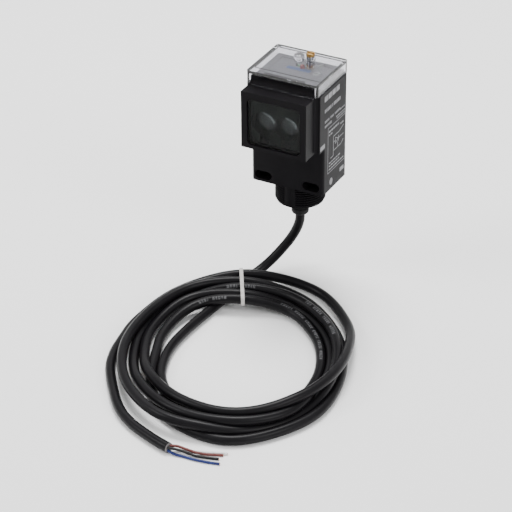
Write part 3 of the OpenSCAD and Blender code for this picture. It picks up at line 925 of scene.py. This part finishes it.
red_cap = diode_resin("red_diode", (0.45, 0.02, 0.03), (0.6, 0.04, 0.05))
green_cap = diode_resin("green_diode", (0.02, 0.2, 0.05), (0.04, 0.3, 0.08))
for node, name, look, slot in (
    ("output_led", "output_diode", red_cap, "red_led"),
    ("power_led", "power_diode", green_cap, "green_led"),
):
    finish_piece(copy_of(node, name, 0.08, 2), "body", look, [node])

white_nylon = grain(

    material("white_nylon", (0.7, 0.69, 0.66), 0.45),

    200, (0.66, 0.65, 0.62), (0.76, 0.75, 0.72), 0.4, 0.55, 0.3,

)
grey_control = grain(
    material("grey_control", (0.45, 0.45, 0.46), 0.45),
    200, (0.38, 0.38, 0.39), (0.46, 0.46, 0.47), 0.4, 0.5, 0.2,
)
dial = copy_of("sensitivity_dial", "sensitivity_wheel", 0.16, 2)
finish_piece(dial, "dial", grey_control, ["sensitivity_dial"])
selector = copy_of("mode_selector", "mode_wheel", 0.14, 2)
finish_piece(selector, "selector", grey_control, ["mode_selector"])

# %% [markdown]
# Where the cable leaves the boss there is a moulded relief: a neck that widens
# into a bulge at its end. Its rubber is duller than the body, and its lower
# edge is well rounded, so the cable bends over it without a nick.

# %% Strain relief
relief = copy_of("strain_relief", "cable_relief", 0.35, 3)
finish_piece(relief, "body", rubber, ["strain_relief"])

# %% [markdown]
# On the right side the maker prints a name, a type and a wiring scheme in
# white. Here they are plain blocks, dashes and lines in the same places: they
# fill the face as print does, and say nothing. Each mark is one thin plate, and
# all of them are one piece that stands a hair proud of the plastic.

# %% Print on the right side
face_x, print_thick = 23.2, 0.03
marks = []


def bar(y0, z0, y1, z1):
    """An upright block between two corners."""
    marks.append(((y0, z0), (y1, z0), (y1, z1), (y0, z1)))


def dashes(y, z, height, sizes, gap=0.55):
    """A row of blocks of the given lengths, where a negative one is left empty."""
    for size in sizes:
        if size > 0:
            bar(y, z, y + size, z + height)
        y += abs(size) + gap


def stroke(start, end, wide):
    """A straight line with square ends."""
    run = (Vector(end) - Vector(start)).normalized() * wide / 2
    aside = Vector((-run.y, run.x))
    start, end = Vector(start) - run, Vector(end) + run
    marks.append(tuple(tuple(p) for p in (start - aside, end - aside, end + aside, start + aside)))


def oval(y, z, wide, high, sides=16):
    """A filled oval."""
    angles = [2 * math.pi * k / sides for k in range(sides)]
    marks.append(tuple((y + wide * math.cos(a), z + high * math.sin(a)) for a in angles))


# four plain blocks where a name would stand
dashes(-16.2, 60.4, 3.4, (4.2, 4.2, 4.2, 4.2), 0.7)
# rows of dashes
dashes(-15.9, 53.3, 2.2, (1.3, 1.0, 1.3, 1.3, 1.1, -0.2, 0.7, -0.2, 1.3, 1.2, 1.3, 1.2, 1.2))
dashes(-15.6, 46.7, 1.5, (0.9, 1.0, 0.9, 1.0, -0.6, 0.9, 1.0, 0.8, -0.6, 1.0, 0.9, 0.9, 1.0, 0.9))
dashes(-15.6, 43.6, 1.5, (1.0, 0.9, 1.0, 0.8, 1.0, 0.9))
dashes(3.6, 46.6, 0.7, (2.2, 1.4, 1.8))
dashes(-1.2, 44.1, 0.7, (1.8, 2.6, 1.6, 2.2, 1.2))
dashes(-0.2, 42.6, 0.6, (2.4, 1.8, 2.8, 1.6))
# the frame and the wiring scheme inside it
frame_left, frame_right, frame_low, frame_high = -11.3, 11.2, 11.9, 41.3
for start, end in (
    ((frame_left, frame_high), (frame_right, frame_high)),
    ((frame_left, frame_low), (frame_left, frame_high)),
    ((frame_left, frame_low), (frame_right, frame_low)),
    ((frame_right, frame_low), (frame_right, frame_high)),
):
    stroke(start, end, 0.35)
dashes(-10.2, 38.0, 1.2, (2.4, 2.2, 1.8, 2.6, 1.6))
dashes(-10.2, 35.9, 0.9, (1.6, 2.2))
dashes(4.6, 36.8, 1.0, (1.4, 2.0))
for start, end in (
    ((-4.3, 33.2), (-4.3, 20.6)), ((-4.3, 33.2), (3.4, 33.2)), ((3.4, 33.2), (8.8, 35.0)),
    ((-4.3, 29.4), (-1.6, 29.4)), ((-1.6, 31.2), (-1.6, 27.4)), ((-1.6, 31.2), (2.0, 29.3)),
    ((-1.6, 27.4), (2.0, 29.3)), ((2.2, 31.0), (2.2, 27.4)), ((2.2, 29.3), (8.6, 29.3)),
    ((1.2, 27.0), (1.2, 23.9)), ((-4.3, 23.9), (5.4, 23.9)), ((5.4, 23.9), (8.6, 25.6)),
    ((-4.3, 20.6), (-7.6, 20.6)),
):
    stroke(start, end, 0.5)
dashes(-9.8, 17.5, 0.8, (2.6, 1.8, 2.9, 2.2, 2.8))
dashes(-9.8, 15.5, 0.8, (1.8, 2.8, 2.4, 2.6, 1.6))
dashes(-9.8, 13.4, 0.8, (2.4, 2.2, 1.6, 2.8, 2.6, 2.4, 1.8))
# a block and a round spot on the base, and the pale bar at the front edge
dashes(4.6, 5.6, 2.6, (5.2,))
oval(-6.8, 5.0, 1.9, 2.2)
bar(-21.2, 31.1, -15.4, 33.9)

corners, plates = [], []
for outline_points in marks:
    base_index = len(corners)
    for y, z in outline_points:
        corners.append((face_x * mm, y * mm, z * mm))
    plates.append(tuple(range(base_index, base_index + len(outline_points))))
data = bpy.data.meshes.new("side_print")
data.from_pydata(corners, [], plates)
side_print = add_object("side_print", data)
edit_all(side_print)
bpy.ops.mesh.normals_make_consistent(inside=False)
bpy.ops.mesh.extrude_region_move(TRANSFORM_OT_translate={"value": (print_thick * mm, 0, 0)})
bpy.ops.mesh.select_all(action="SELECT")
bpy.ops.mesh.normals_make_consistent(inside=False)
object_mode()
white_ink = grain(
    material("white_ink", (0.26, 0.26, 0.27), 0.6, Specular_IOR_Level=0.2),
    500, (0.17, 0.17, 0.18), (0.3, 0.3, 0.31), 0.5, 0.65, 0.1,
)
finish_piece(side_print, "body", white_ink)
print("marks on the side:", len(marks))

# %% [markdown]
# The inside is seen when the cover is off or through the window's edge. Its
# parts keep the frame's own shapes. Each gets the finish of what it is: green
# laminate with a faint weave, dark moulded chips, amber film, tinned metal.

# %% Inner parts
laminate = grain(
    material("circuit_board", (0.02, 0.14, 0.05), 0.35),
    500, (0.012, 0.1, 0.035), (0.025, 0.16, 0.06), 0.3, 0.45, 0.5, stretch=(1, 1, 0.3),
)
dark_resin = grain(
    material("dark_resin", (0.02, 0.02, 0.022), 0.55),
    300, (0.014, 0.014, 0.015), (0.028, 0.028, 0.03), 0.45, 0.65, 0.5,
)
amber_film = grain(
    material("amber_film", (0.55, 0.25, 0.05), 0.25),
    150, (0.45, 0.19, 0.03), (0.62, 0.3, 0.07), 0.2, 0.35, 0.15,
)
tinned = grain(
    material("zinc_steel", (0.6, 0.6, 0.62), 0.3, Metallic=1.0),
    600, (0.5, 0.5, 0.52), (0.68, 0.68, 0.7), 0.25, 0.4, 0.3,
)
can_metal = grain(
    material("capacitor_can", (0.06, 0.07, 0.1), 0.35),
    300, (0.04, 0.05, 0.075), (0.08, 0.09, 0.12), 0.3, 0.45, 0.2,
)
rose_resin = grain(
    material("emitter_resin", (0.6, 0.35, 0.35), 0.1, Transmission_Weight=0.4),
    250, (0.55, 0.3, 0.3), (0.7, 0.42, 0.42), 0.08, 0.14, 0.05,
)
blue_resin = grain(
    material("blue_resin", (0.04, 0.12, 0.4), 0.4),
    300, (0.03, 0.1, 0.34), (0.06, 0.15, 0.46), 0.35, 0.5, 0.2,
)
bronze = grain(
    material("insert_brass", (0.5, 0.32, 0.12), 0.35, Metallic=1.0),
    600, (0.42, 0.25, 0.08), (0.58, 0.38, 0.15), 0.3, 0.45, 0.3,
)
wire_skin = grain(
    material("inner_lead_skin", (0.2, 0.09, 0.05), 0.45),
    200, (0.15, 0.06, 0.035), (0.25, 0.12, 0.07), 0.4, 0.5, 0.2,
)
inner_looks = {
    "emitter_led": rose_resin, "receiver_diode": dark_resin, "optic_board": laminate,
    "board_screws": tinned, "flex_link": amber_film, "main_board": laminate,
    "output_module": dark_resin, "filter_capacitor": can_metal, "board_chips": dark_resin,
    "terminal_header": white_nylon, "board_link": dark_resin, "top_board": laminate,
    "sensitivity_pot": blue_resin, "mode_switch": white_nylon, "screw_insert": bronze,
    "cable_clamp": dark_resin, "boss_potting": dark_resin, "inner_leads": wire_skin,
    "cable_entry": jacket,
}
for node, look in inner_looks.items():
    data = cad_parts[node].data
    data.materials.clear()
    data.materials.append(look)
print("inner parts finished:", len(inner_looks))

# %% [markdown]
# The stand is a plain pale sheet, wide enough to fill the view, at the height
# that the coil lies on. Large soft lights stand over and beside it, so edges
# get long quiet highlights and the shadows stay faint.

# %% Floor and lights
select_nothing()
bpy.ops.mesh.primitive_plane_add(size=9, location=(0, 0, (floor_z - 0.02) * mm))
floor = newest("floor")
paper = material("floor_paper", (0.93, 0.93, 0.93), 0.9, Specular_IOR_Level=0.1)
floor.data.materials.append(paper)


def soft_light(name, place, size, power, aim=(0, -0.05, 0)):
    """A round soft light that looks at the object."""
    select_nothing()
    bpy.ops.object.light_add(type="AREA", location=place)
    light = newest(name)
    light.data.shape = "DISK"
    light.data.size = size
    light.data.energy = power
    light.rotation_euler = (Vector(aim) - Vector(place)).to_track_quat("-Z", "Y").to_euler()


soft_light("overhead", (-0.25, 0.35, 1.3), 0.7, 30)
soft_light("left_front", (-1.1, -0.9, 1.0), 0.6, 10)
soft_light("right_front", (1.3, -0.5, 0.8), 0.7, 9)
world = bpy.data.worlds.new("studio")
world.use_nodes = True
sky = world.node_tree.nodes["Background"]
sky.inputs["Color"].default_value = (1, 1, 1, 1)
sky.inputs["Strength"].default_value = 0.9
scene.world = world
